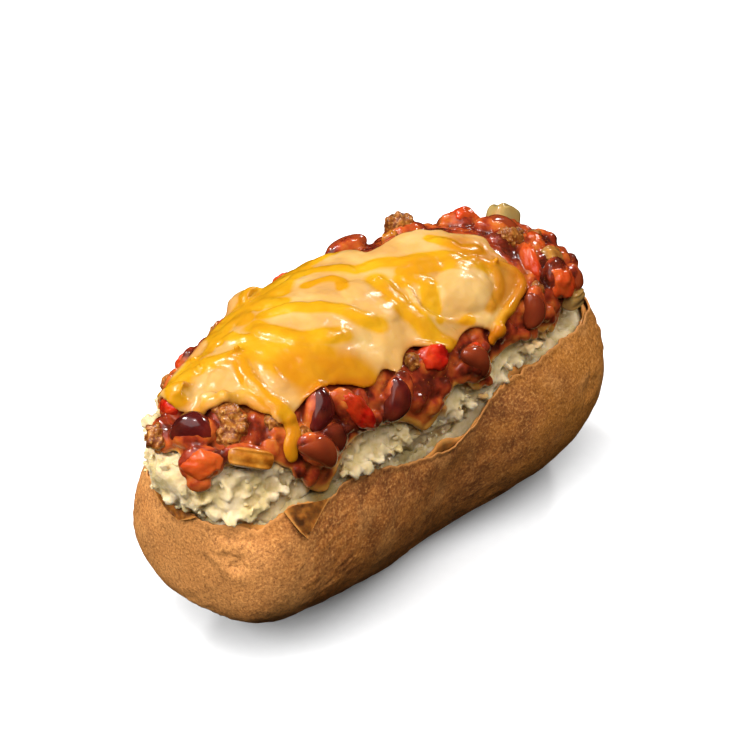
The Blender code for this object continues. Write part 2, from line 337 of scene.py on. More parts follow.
def hollowness(obj, steps=14):
    # how many millimetres a point lies below its smoothed surroundings
    points = pointsOf(obj)
    ends = np.empty(len(obj.data.edges) * 2, np.int32)
    obj.data.edges.foreach_get("vertices", ends)
    a, b = ends.reshape(-1, 2).T
    here, there = np.concatenate([a, b]), np.concatenate([b, a])
    count = np.maximum(np.bincount(here, minlength=len(points)), 1)
    smooth = points.copy()
    for _ in range(steps):
        smooth = np.stack([np.bincount(here, smooth[there, k], len(points)) for k in range(3)], 1) / count[:, None]
    return ((smooth - points) * normalsOf(obj)).sum(1)


# ---- materials

def hexColour(code):
    parts = [int(code[i : i + 2], 16) / 255 for i in (1, 3, 5)]
    return (*(p / 12.92 if p <= 0.04045 else ((p + 0.055) / 1.055) ** 2.4 for p in parts), 1)


def addNode(tree, kind, settings=None, links=None):
    node = tree.nodes.new("ShaderNode" + kind)
    for key, value in (settings or {}).items():
        if isinstance(key, str) and hasattr(node, key):
            setattr(node, key, value)
        else:
            node.inputs[key].default_value = value
    for key, socket in (links or {}).items():
        tree.links.new(socket, node.inputs[key])
    return node


def newFinish(name, settings):
    material = bpy.data.materials.new(name)
    material.use_nodes = True
    tree = material.node_tree
    shader = tree.nodes["Principled BSDF"]
    for key, value in settings.items():
        shader.inputs[key].default_value = value
    place = addNode(tree, "TexCoord").outputs["Object"]
    return material, tree, shader, place


def pattern(tree, place, width, detail=3.0, rough=0.5):
    # noise whose features are that many millimetres wide
    settings = {"Scale": 1000 / width, "Detail": detail, "Roughness": rough}
    return addNode(tree, "TexNoise", settings, {"Vector": place}).outputs["Fac"]


def painted(tree, name):
    # a value kept on the mesh's points
    return addNode(tree, "Attribute", {"attribute_name": name}).outputs["Fac"]


def ramp(tree, fac, *stops):
    node = addNode(tree, "ValToRGB", links={"Fac": fac})
    band = node.color_ramp
    while len(band.elements) < len(stops):
        band.elements.new(0.5)
    for element, (position, code) in zip(band.elements, stops):
        element.position = position
        element.color = hexColour(code)
    return node.outputs["Color"]


def remap(tree, value, low, high, toLow=0.0, toHigh=1.0):
    limits = {"From Min": low, "From Max": high, "To Min": toLow, "To Max": toHigh}
    return addNode(tree, "MapRange", limits, {"Value": value}).outputs["Result"]


def over(tree, base, code, value, low=0.0, high=1.0, most=1.0):
    # lays a colour over the base where the value goes from low to high
    second = {"Color2": hexColour(code)} if isinstance(code, str) else {}
    links = {"Fac": remap(tree, value, low, high, 0, most), "Color1": base}
    if not second:
        links["Color2"] = code
    return addNode(tree, "MixRGB", second, links).outputs["Color"]


def relief(tree, shader, height, strength, depth):
    # depth in millimetres
    bump = addNode(tree, "Bump", {"Strength": strength, "Distance": depth / 1000}, {"Height": height})
    tree.links.new(bump.outputs["Normal"], shader.inputs["Normal"])


def bakedSkin():
    # Russet potato skin, baked dry: corky netting over brown, which reads as matte with tiny pale flecks
    material, tree, shader, place = newFinish("bakedRussetSkin", {"Roughness": 0.55, "IOR": 1.42})
    fleck = pattern(tree, place, 0.75, 5.0, 0.7)
    fine = pattern(tree, place, 0.4, 3.0, 0.6)
    mottle = pattern(tree, place, 5, 5.0, 0.65)
    base = ramp(tree, mottle, (0.38, "#844D24"), (0.5, "#A4632F"), (0.62, "#B67134"))
    # painted shade: darker under the near lip and in the creases, over the skin's own darker patches
    base = over(tree, base, "#6B3F2D", painted(tree, "shadeAndDarkPatches"), most=0.28)
    base = over(tree, base, "#B6732D", painted(tree, "golden"), most=0.8)
    # painted light: paler towards the left end, over the skin's own pale and corky patches
    base = over(tree, base, "#C2854A", painted(tree, "paleAndLitLeftEnd"), most=0.85)
    base = over(tree, base, "#552E18", fleck, 0.5, 0.3, 0.8)
    base = over(tree, base, "#E09F59", fleck, 0.52, 0.68, 0.8)
    base = over(tree, base, "#E7AA6C", fine, 0.58, 0.75, 0.5)
    base = over(tree, base, "#CF8C4D", painted(tree, "torn"), most=0.9)
    tree.links.new(base, shader.inputs["Base Color"])
    relief(tree, shader, fleck, 0.6, 0.5)
    return material


def innerSkinFinish():
    # The moist inner side of the skin, steamed against the flesh: dark toffee brown with a soft sheen
    settings = {"Roughness": 0.38, "IOR": 1.42, "Subsurface Weight": 0.15, "Subsurface Scale": 0.0015}
    material, tree, shader, place = newFinish("steamedInnerSkin", settings)
    mottle = pattern(tree, place, 2.5, 4.0)
    base = ramp(tree, mottle, (0.35, "#41240E"), (0.52, "#6F4016"), (0.68, "#945A20"))
    base = over(tree, base, "#CD8A44", painted(tree, "torn"), most=0.9)
    tree.links.new(base, shader.inputs["Base Color"])
    relief(tree, shader, mottle, 0.5, 0.6)
    return material


def fleshFinish():
    # Fluffed potato flesh, steamed and crumbled: pale cream, slightly see-through, with moist crumb edges
    settings = {
        "Roughness": 0.4, "IOR": 1.38, "Subsurface Weight": 0.6, "Subsurface Radius": (1.0, 0.75, 0.4),
        "Subsurface Scale": 0.001,
    }
    material, tree, shader, place = newFinish("fluffedPotatoFlesh", settings)
    base = ramp(tree, pattern(tree, place, 5), (0.36, "#BEA875"), (0.5, "#CEB88D"), (0.66, "#DAC6A2"))
    # painted shade: darker in the hollows
    base = over(tree, base, "#A78D4C", painted(tree, "hollowShade"), 0.3, 1.2, 0.8)
    base = over(tree, base, "#BE9153", painted(tree, "stain"), 0.0, 0.5, 0.8)
    base = over(tree, base, "#A75D1E", painted(tree, "stain"), 0.5, 1.0, 0.9)
    # painted shade: darker olive low on the flesh in front, just inside the lip
    base = over(tree, base, "#675832", painted(tree, "frontShade"), most=0.9)
    tree.links.new(base, shader.inputs["Base Color"])
    relief(tree, shader, pattern(tree, place, 0.8, 5.0, 0.65), 0.6, 0.5)
    return material


def chiliFinish():
    # Simmered tomato and chili sauce: dark and thick in the middle, orange where it thins, with a wet gloss
    settings = {
        "Roughness": 0.17, "IOR": 1.42, "Subsurface Weight": 0.3, "Subsurface Radius": (1.0, 0.25, 0.06),
        "Subsurface Scale": 0.0012, "Coat Weight": 0.3, "Coat Roughness": 0.08,
    }
    material, tree, shader, place = newFinish("simmeredChiliSauce", settings)
    lumps = pattern(tree, place, 6)
    specks = pattern(tree, place, 0.8)
    base = ramp(tree, lumps, (0.38, "#4F1B0F"), (0.47, "#7B2815"), (0.58, "#A1451C"), (0.7, "#B36024"))
    # darker in the hollows: thicker pooled sauce, and painted shade
    base = over(tree, base, "#33110D", painted(tree, "hollowShade"), 0.1, 0.8, 0.85)
    base = over(tree, base, "#B35524", painted(tree, "thin"), 0.2, 0.6, 0.85)
    base = over(tree, base, "#CE8E3B", painted(tree, "thin"), 0.6, 1.0, 0.95)
    base = over(tree, base, "#B37129", specks, 0.66, 0.74, 0.5)
    tree.links.new(base, shader.inputs["Base Color"])
    relief(tree, shader, pattern(tree, place, 1.3), 0.25, 0.5)
    return material


def cheeseFinish():
    # Cheddar and jack shreds melted into one sheet: cream with soft saturated yellow bands and an oily sheen
    settings = {
        "Roughness": 0.24, "IOR": 1.44, "Subsurface Weight": 0.4, "Subsurface Radius": (1.0, 0.55, 0.15),
        "Subsurface Scale": 0.002,
    }
    material, tree, shader, place = newFinish("meltedCheddarAndJack", settings)
    broad = pattern(tree, place, 9, 2.0)
    base = ramp(tree, broad, (0.36, "#B08448"), (0.52, "#B78D4E"), (0.68, "#BC975B"))
    yellow = ramp(tree, broad, (0.36, "#AF790E"), (0.5, "#B58210"), (0.66, "#B98A15"))
    base = over(tree, base, yellow, painted(tree, "shred"), 0.15, 0.8)
    # amber where the sheet is thin over the chili, partly painted shade low near the rim
    base = over(tree, base, "#9E5609", painted(tree, "thin"), most=0.9)
    # painted shade: darker in the hollows
    base = over(tree, base, "#9F731E", painted(tree, "hollowShade"), 0.1, 0.9, 0.6)
    tree.links.new(base, shader.inputs["Base Color"])
    relief(tree, shader, pattern(tree, place, 2.6, 2.0), 0.2, 0.6)
    return material


def cookedPiece(name, width, stops, tinted, settings, speck=None, bump=(1.0, 0.2)):
    # a cooked piece with the sauce's wet film on it; the colour tinted is for the paler pieces and ends, and for the
    # mince a darker colour, which also paints shade between its grains
    material, tree, shader, place = newFinish(name, {"IOR": 1.42, **settings})
    base = ramp(tree, pattern(tree, place, width, 4.0), *stops)
    base = over(tree, base, tinted, painted(tree, "tint"))
    if speck:
        base = over(tree, base, speck, pattern(tree, place, 0.7), 0.52, 0.66, 0.8)
    tree.links.new(base, shader.inputs["Base Color"])
    relief(tree, shader, pattern(tree, place, bump[0]), bump[1], 0.5)
    return material


finishes = {
    "skin": bakedSkin(),
    "innerSkin": innerSkinFinish(),
    "flesh": fleshFinish(),
    "chili": chiliFinish(),
    "cheese": cheeseFinish(),
    # Kidney bean: a tight smooth skin, maroon and glassy
    "bean": cookedPiece(
        "cookedKidneyBean", 6, ((0.35, "#2E0C0A"), (0.55, "#48120F"), (0.7, "#601B11")), "#803317",
        {"Roughness": 0.16, "Subsurface Weight": 0.15, "Subsurface Radius": (1.0, 0.2, 0.1),
         "Subsurface Scale": 0.0012, "Coat Weight": 0.4, "Coat Roughness": 0.07},
        bump=(2.0, 0.1),
    ),
    # Stewed tomato: wet flesh with a slack skin, red that glows at thin edges
    "tomato": cookedPiece(
        "stewedTomato", 4, ((0.35, "#7C0D07"), (0.52, "#A3160B"), (0.7, "#B02E15")), "#AE4A1A",
        {"Roughness": 0.17, "Subsurface Weight": 0.4, "Subsurface Radius": (1.0, 0.3, 0.1),
         "Subsurface Scale": 0.0015, "Coat Weight": 0.4, "Coat Roughness": 0.07},
        bump=(1.2, 0.3),
    ),
    # Browned mince: coarse cooked grains with fat glistening in the hollows, which are also painted darker as shade
    "mince": cookedPiece(
        "brownedMince", 1.8, ((0.34, "#50250D"), (0.5, "#804619"), (0.66, "#A06423")), "#5E2609",
        {"Roughness": 0.32, "Subsurface Weight": 0.1, "Subsurface Scale": 0.001, "Coat Weight": 0.3,
         "Coat Roughness": 0.12},
        speck="#AF7A3B", bump=(0.6, 0.4),
    ),
    # Softened onion and pepper: layered, see-through, stained amber by the sauce
    "onion": cookedPiece(
        "softenedOnion", 3, ((0.35, "#8B4B10"), (0.52, "#A9681D"), (0.7, "#BB7E2F")), "#907846",
        {"Roughness": 0.2, "Subsurface Weight": 0.35, "Subsurface Radius": (1.0, 0.6, 0.25),
         "Subsurface Scale": 0.0015, "Coat Weight": 0.3, "Coat Roughness": 0.08},
        bump=(1.5, 0.25),
    ),
}
print("finishes made")


# ---- the jacket

jacket = {
    "around": 640,
    "rings": 132,
    "lip": (  # round, height above the floor: the torn edge with its dips and tongues
        (-180, 49.3), (-174, 49), (-168, 49.8), (-160, 50), (-153, 51.1), (-147, 51.8), (-139, 50.6), (-131, 49.6),
        (-126, 50.9), (-118, 49.8), (-111, 48.4), (-104, 45.6), (-96, 43.6), (-91, 42.6), (-86, 43.7), (-80, 47),
        (-74, 49.2), (-66, 51), (-56, 51.6), (-42, 51.7), (-31, 50.9), (-22, 51.4), (-15, 53.2), (-4, 52),
        (12, 52.4), (24, 54.4), (38, 51.4), (60, 46.8), (76, 50), (98, 53), (112, 50), (124, 47.8), (138, 50),
        (152, 51.8), (166, 49.8), (180, 49.3),
    ),
    "flare": ((-88, 2.5, 12), (-136, 1.0, 8), (-20, 1.5, 9)),  # round, reach, half-width
    "teeth": 0.55,  # height of the lip's small tears
    "wall": 1.5,
    "lipWall": 0.45,
    "eyes": (  # round, share of the way down from the lip, size, depth
        (-169, 0.085, 4.2, 0.9), (-176, 0.12, 2.2, 0.7), (-178, 0.2, 3.0, 0.4), (-70, 0.55, 3.4, 0.4),
        (-42, 0.21, 4.5, 0.5), (-100, 0.62, 3.6, 0.3), (-130, 0.5, 3.0, 0.25), (40, 0.4, 3.6, 0.8),
        (120, 0.5, 4.0, 0.8), (165, 0.5, 3.2, 0.7), (80, 0.2, 3.2, 0.5), (10, 0.3, 3.4, 0.6), (100, 0.72, 3.4, 0.7),
    ),
    "creases": (  # round, share down at the upper end, then at the lower end, half-width, depth
        (-106, 0.02, -101.5, 0.16, 0.45, 0.45), (-103.5, 0.03, -99.5, 0.14, 0.4, 0.4),
        (-40, 0.14, -46, 0.27, 0.7, 0.6), (-180, 0.14, -172, 0.24, 0.6, 0.45), (-155, 0.55, -165, 0.7, 0.8, 0.6),
        (30, 0.1, 36, 0.3, 0.5, 0.5), (90, 0.05, 96, 0.2, 0.5, 0.5), (140, 0.2, 128, 0.34, 0.6, 0.5),
    ),
}


def lipDown(roundAngle, rise=0.0):
    # how far down a height on the potato lies at each angle round: the lip's own, raised by rise
    places, heights = zip(*jacket["lip"])
    return heightDown(roundAngle, through(places, heights, roundAngle) + rise)


def heightDown(roundAngle, height):
    low, high = np.full_like(roundAngle, 20), np.full_like(roundAngle, 89)
    for _ in range(18):
        middle = (low + high) / 2
        above = potatoPoints(ballPoint(middle, roundAngle))[:, 2] > height
        low, high = np.where(above, middle, low), np.where(above, high, middle)
    return high


def onCircle(roundAngle, radius=55):
    # noise along the lip is taken on a circle, so that it closes
    turn = np.radians(roundAngle)
    return np.stack([np.cos(turn) * radius, np.sin(turn) * radius, 0 * turn], -1)


def lipTeeth(roundAngle, seed):
    circle = onCircle(roundAngle)
    return 1.6 * grain(circle, 6, seed) + 0.9 * grain(circle, 2.2, seed + 1) + 0.6 * grain(circle, 0.9, seed + 2)


def jacketWall(angles, lip, shares, insets):
    # rings of the potato's side, from the lip down, flared outwards near the lip
    flare = softBumps(angles, jacket["flare"]) + 0.6 * grain(onCircle(angles), 8, 5)
    outward = ballPoint(np.full_like(angles, 90), angles)[:, :2]
    rows = []
    for share, inset in zip(shares, insets):
        ring = potatoPoints(ballPoint(lip + (180 - lip) * share, angles), inset)
        ring[:, :2] += outward * (flare * (1 - smoothStep(0, 0.2, share)))[:, None]
        rows.append(ring)
    return rows


def segmentAway(points, start, end):
    # how far points are from a straight stretch
    along = end - start
    share = np.clip((points - start) @ along / (along @ along), 0, 1)
    return np.linalg.norm(points - start - share[:, None] * along, axis=1), share


def makeJacket():
    around, rings = jacket["around"], jacket["rings"]
    angles = np.linspace(-180, 180, around, endpoint=False)
    lip = lipDown(angles, jacket["teeth"] * lipTeeth(angles, 3))
    shares = np.concatenate([np.linspace(0, 0.1, 34)[:-1], np.linspace(0.1, 0.97, rings - 33)])
    inside = np.array((0.0, 0.008, 0.02, 0.04, 0.07, 0.11, 0.16, 0.25, 0.4, 0.6, 0.8, 0.97))

    def wallAt(way):
        return jacket["lipWall"] + (jacket["wall"] - jacket["lipWall"]) * np.minimum(1, way / 0.07)

    walls = wallAt(inside)
    outer = jacketWall(angles, lip, shares, np.zeros(rings))
    inner = jacketWall(angles, lip, inside, walls)
    rows = inner[::-1] + outer
    points = np.concatenate(rows + [inner[-1].mean(0, keepdims=True), outer[-1].mean(0, keepdims=True)])
    faces = closedRings(len(rows), around, True, True)
    obj = piece("bakedJacket", points, [f[::-1] for f in faces], finishes["skin"])

    # relief goes inwards from the solid: soft lumps, fine wrinkles, eyes and creases
    normals = normalsOf(obj)
    outside = np.arange(len(inner) * around, len(rows) * around)
    p, share, roundAngle = points[outside], np.repeat(shares, around), np.tile(angles, rings)

    def spotAt(place, way):
        return p[np.argmin(np.abs(turnedFrom(roundAngle, place)) / 90 + np.abs(share - way))]

    depth = -0.55 + 0.4 * grain(p, 16, 1) + 0.2 * grain(p, 6, 2) + 0.1 * grain(p, 2.2, 4)
    wrinkles = np.abs(grain(p * np.array([0.4, 1.0, 1.0]), 2.4, 8))
    wrinkled = smoothStep(0.0, 0.4, grain(p, 20, 9)) * (1 - smoothStep(0.25, 0.5, share))
    depth -= 0.3 * wrinkled * (1 - 2 * wrinkles)
    rough = np.zeros(len(p))
    for place, way, size, deep in jacket["eyes"]:
        away = np.linalg.norm((p - spotAt(place, way)) * np.array([0.7, 1, 1.3]), axis=1) / size
        depth += deep * (0.6 * np.exp(-((away - 1.2) ** 2) * 4) - 0.7 * np.exp(-(away**2) * 1.8))
        depth += 0.6 * deep * np.exp(-(away**2) * 0.5) * np.abs(grain(p, 1.3, 16))
        depth += 0.25 * deep * np.exp(-(away**2) * 0.8) * np.sin(away * 9 + 1.5 * grain(p, 3, 17))
        rough += np.exp(-(away**2) * 0.5)
    grooveShade = np.zeros(len(p))
    for place, way, place2, way2, halfWidth, deep in jacket["creases"]:
        away, along = segmentAway(p, spotAt(place, way), spotAt(place2, way2))
        cut = np.exp(-((away / halfWidth) ** 2)) * np.sin(np.pi * np.clip(0.1 + along * 0.85, 0, 1))
        depth -= deep * cut
        grooveShade = np.maximum(grooveShade, cut)
    depth = np.clip(depth * smoothStep(0, 0.03, share), -0.72 * wallAt(share), -0.02)
    points[outside] += normals[outside] * depth[:, None]
    points[:, 2] = np.maximum(points[:, 2], potato["flatSpot"])
    movePoints(obj, points)

    # where the skin is darker, more golden or paler, and its papery torn edge: the darker holds painted shade under the
    # near lip and in the creases, the paler painted light on the left end
    near = smoothStep(12, -14, p[:, 1])
    cloud = grain(p, 9, 11)
    # darker just under the lip on the near side and in the creases is painted shade; the grain patches are the skin's
    # own mottling
    shadeAndDarkPatches = smoothStep(0.2, 0.02, share + 0.1 * cloud) * near * smoothStep(-56, -34, p[:, 0]) * 0.8
    shadeAndDarkPatches += 0.5 * smoothStep(0.1, 0.5, grain(p, 13, 12)) + grooveShade
    golden = smoothStep(14, 52, p[:, 0] + 20 * cloud) + 0.6 * smoothStep(0.55, 0.9, share)
    # paler towards the left end is painted light; the grain patches and the corky rough round the eyes are the skin's
    # own
    paleAndLitLeftEnd = smoothStep(-50, -68, p[:, 0] + 14 * cloud) * 0.8 + 0.5 * smoothStep(0.05, 0.5, grain(p, 8, 13))
    paleAndLitLeftEnd += 0.6 * rough * np.abs(grain(p, 1.5, 15))
    lead = np.zeros(len(inner) * around)
    for name, amounts in (("shadeAndDarkPatches", shadeAndDarkPatches), ("golden", golden), ("paleAndLitLeftEnd", paleAndLitLeftEnd)):
        setValue(obj, name, np.concatenate([lead, np.clip(amounts, 0, 1), (0, 0)]))
    torn = np.concatenate([lead, smoothStep(0.012, 0.0, share), (0, 0)])
    torn[(len(inner) - 2) * around : len(inner) * around] = 1
    setValue(obj, "torn", torn)
    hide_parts("jacket")
    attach(obj, "root")


innerSkin = {
    "rises": ((-138, 1.2, 5), (-162, 1.2, 8), (-92, 3.6, 4.5), (-63, 2.2, 4), (-18, 2.5, 8), (60, 2.5, 9), (124, 2, 9)),
    "flaps": (  # round at its two corners and at its tip, height of the tip, how far it curls
        (-150, -131.5, -141.5, 45.2, 0.9),
        (172, 184.5, 181, 46.4, 0.5),
        (54, 66, 59, 42.6, 0.8),
        (119, 131, 126, 44.4, 0.7),
    ),
}


def flapShell(start, end, tip, bottom, curl):
    # a torn tongue of skin folded down over the outside, its inner side out
    rows, edge = [], []
    for v in np.linspace(0, 1, 22):
        u = np.linspace(0, 1, 26)
        halfOpen = 1 - v
        side = (start + (end - start) * u) * halfOpen + tip * v
        top = through(*zip(*jacket["lip"]), turnedFrom(start + (end - start) * u, 0)) + 0.2
        height = top + (bottom - top) * v + 0.35 * grain(np.stack([u * 6, v * 4 + 0 * u, 0 * u], -1), 1, 7) * v
        down = heightDown(side, height)
        lift = 0.35 + curl * (v**2) + 0.25 * np.abs(2 * u - 1) * halfOpen * v
        rows.append([potatoPoints(ballPoint(down, side), -lift - thick) for thick in (0.0, 0.4)])
        edge.append(np.maximum(smoothStep(0.86, 1, np.full_like(u, v)), smoothStep(0.8, 1, np.abs(2 * u - 1))))
    under, outer = (np.concatenate([row[k] for row in rows]) for k in (0, 1))
    count = 26
    faces = []
    for layer, flip in ((0, False), (1, True)):
        for i in range(21):
            for j in range(count - 1):
                quad = [i * count + j, i * count + j + 1, (i + 1) * count + j + 1, (i + 1) * count + j]
                quad = [k + layer * 22 * count for k in quad]
                faces.append(quad[::-1] if flip else quad)
    rim = [(0, j) for j in range(count)] + [(i, count - 1) for i in range(1, 22)]
    rim += [(21, j) for j in range(count - 2, -1, -1)] + [(i, 0) for i in range(20, 0, -1)]
    ring = [i * count + j for i, j in rim]
    for a, b in zip(ring, ring[1:] + ring[:1]):
        faces.append([b, a, a + 22 * count, b + 22 * count])
    return np.concatenate([under, outer]), faces, np.concatenate(edge * 2)


def makeInnerSkin():
    # the inner side of the skin, which shows between the torn lip and the flesh, and its folded tongues
    around = 480
    angles = np.linspace(-180, 180, around, endpoint=False)
    lip = lipDown(angles, softBumps(angles, innerSkin["rises"]) - 0.5 + 0.5 * lipTeeth(angles, 31))
    shares = (0.16, 0.08, 0.03, 0.0, 0.0, 0.03, 0.08, 0.16)
    rows = jacketWall(angles, lip, shares, (2.0, 1.9, 1.7, 1.2, 0.7, 1.0, 1.35, 1.5))
    rows.append(rows[0])
    shells = [(np.concatenate(rows), ringFaces(len(rows), around).tolist())]
    torn = [np.repeat((0, 0, 0.3, 1, 1, 0.3, 0, 0, 0), around)]
    for flap in innerSkin["flaps"]:
        points, faces, edge = flapShell(*flap)
        shells.append((points, faces))
        torn.append(edge)
    points, faces = joinShells(shells)
    obj = piece("innerSkin", points, faces, finishes["innerSkin"], values={"torn": np.concatenate(torn)})
    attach(obj, "root")


makeJacket()
makeInnerSkin()
print("jacket made")


# ---- the flesh

flesh = {
    "bank": 7.0,  # how much higher the flesh left in the jacket lies under the heap than at the lip
    "belowLip": 0.7,
    "lumps": (  # down, round, height, half-width in degrees
        (100, -152, 4.5, 9), (111, -141, 5.5, 8), (116, -118, 3, 7), (106, -107, 3, 6), (100, -84, 3, 6),
        (106, -74, 2, 6), (100, -64, 2.5, 6), (84, 176, 4, 12), (98, 166, 3, 12), (96, -170, 2.5, 9),
        (86, 148, 3.5, 9), (100, 130, 3, 8), (95, 98, 3.5, 8), (104, 84, 2.5, 7), (100, 60, 3, 8), (96, 30, 2.5, 9),
    ),
    # clumps that hang over the lip: round, height above the floor, how far they stand out, radius
    "clumps": (
        (-175, 52.6, 0.9, 2.8), (-171, 51.6, 1.5, 2.9), (-166, 51.4, 1.9, 3.1), (-162, 52.6, 1.7, 3.1),
        (-158, 53.2, 1.3, 2.8), (-154, 54.6, 1.3, 2.8), (-150, 54.6, 0.9, 2.2), (-127, 52.6, 1.7, 2.3),
        (-123, 51.4, 2.1, 2.5), (-119, 50.8, 2.3, 2.4), (-115, 50.6, 2.1, 2.1), (-110, 51, 3.1, 2.2),
        (-105, 51, 2.5, 2.1), (-91, 49.8, 3.1, 2.3), (-87, 48.4, 3.3, 2.2), (-83, 49, 3.5, 2.4),
        (-79, 50, 3.3, 2.3), (-75, 51.8, 3.1, 2.1), (-68, 53.2, 2.6, 1.9), (-60, 54.6, 3, 2.4),
        (-56, 54.2, 3, 2.6), (176, 53, 0.6, 2.6), (167, 53.2, 0.4, 2.4), (150, 54.2, 0.3, 2.4),
        (110, 52.8, 0.3, 2.2), (96, 54, 0.3, 2.2), (46, 52.4, 0.3, 2.2), (70, 51, 0.4, 2.3),
    ),
    "tufts": ((86, 146, 2.4, 3.2), (83, 137, 2.4, 2.8), (77, 117, 3.4, 3.2), (65, 77, 4.2, 3.0), (62, 72, 4.2, 2.4)),
    "frontShade": ((-44, 49.5, 5.5, 0.9), (-13, 45.5, 6.5, 0.55)),  # x, height, reach, how strongly: patches of painted shade low on the flesh in front
    "lumpCount": 1000,
    "crumbs": 420,
}
chiliEdge = (77, 77, 88, 90, 91, 90, 82, 84, 88, 86, 80, 74, 77)
chiliDrips = ((-169, 14, 7), (-124, 20, 7), (-93, 15, 5), (-80, 10, 3), (-50, 9, 8), (78, 12, 6), (112, 14, 6))


def chiliEdgeDown(roundAngle):
    return through(corners, chiliEdge, roundAngle) + softBumps(roundAngle, chiliDrips)


def lumpLift(down, roundAngle):
    total = np.zeros_like(down)
    for place, side, height, halfWidth in flesh["lumps"]:
        total += height * np.exp(-((turnedFrom(roundAngle, side) ** 2 + (down - place) ** 2) / halfWidth**2))
    edge = chiliEdgeDown(roundAngle)
    return total * smoothStep(edge + 2, edge + 12, down)


def crumbShell(centre, size, seed):
    # an angular crumb: a ball with flats sliced off it
    points, faces = balls[2 if size > 1.6 else 1]
    local = np.random.default_rng(seed)
    points = points.copy()
    for _ in range(8):
        cut = local.normal(size=3)
        cut /= np.linalg.norm(cut)
        past = points @ cut - local.uniform(0.25, 0.65)
        points -= np.maximum(past, 0)[:, None] * cut
    stretch = local.uniform(0.75, 1.4, 3)
    turn = np.array(Matrix.Rotation(local.uniform(0, 6.3), 3, Vector(local.normal(size=3))))
    return (points * stretch * size) @ turn.T + centre, faces


def insideBox(points, margin=0.4):
    low, high = (np.array(corner) * 1000 - shift for corner in cadBox)
    return bool((points.min(0) > low + margin).all() and (points.max(0) < high - margin).all())


def paintFlesh(obj):
    points = pointsOf(obj)
    down, roundAngle = heapAngles(points)
    past = down - chiliEdgeDown(roundAngle)
    setValue(obj, "stain", smoothStep(6, -4, past + 4 * grain(points, 5, 25)))
    # painted shade where the flesh lies low in front, inside the dip of the lip
    frontShade = np.zeros(len(points))
    for x, height, reach, strength in flesh["frontShade"]:
        away = np.hypot(points[:, 0] - x, 1.4 * (points[:, 2] - height)) / reach
        frontShade = np.maximum(frontShade, strength * np.exp(-(away**4)) * (points[:, 1] < -12))
    setValue(obj, "frontShade", frontShade)
    # how deep each point lies in a hollow, for the painted shade there
    setValue(obj, "hollowShade", np.clip(hollowness(obj) / 0.6, 0, 1))


def clumpAt(centre, radius, seed):
    # a few angular lumps stuck together
    local = np.random.default_rng(seed)
    lumps = []
    for n in range(6):
        way = local.normal(size=3)
        way *= local.uniform(0.2, 0.6) * radius / np.linalg.norm(way)
        lumps.append(crumbShell(centre + way, radius * local.uniform(0.45, 0.7), seed * 10 + n))
    return lumps


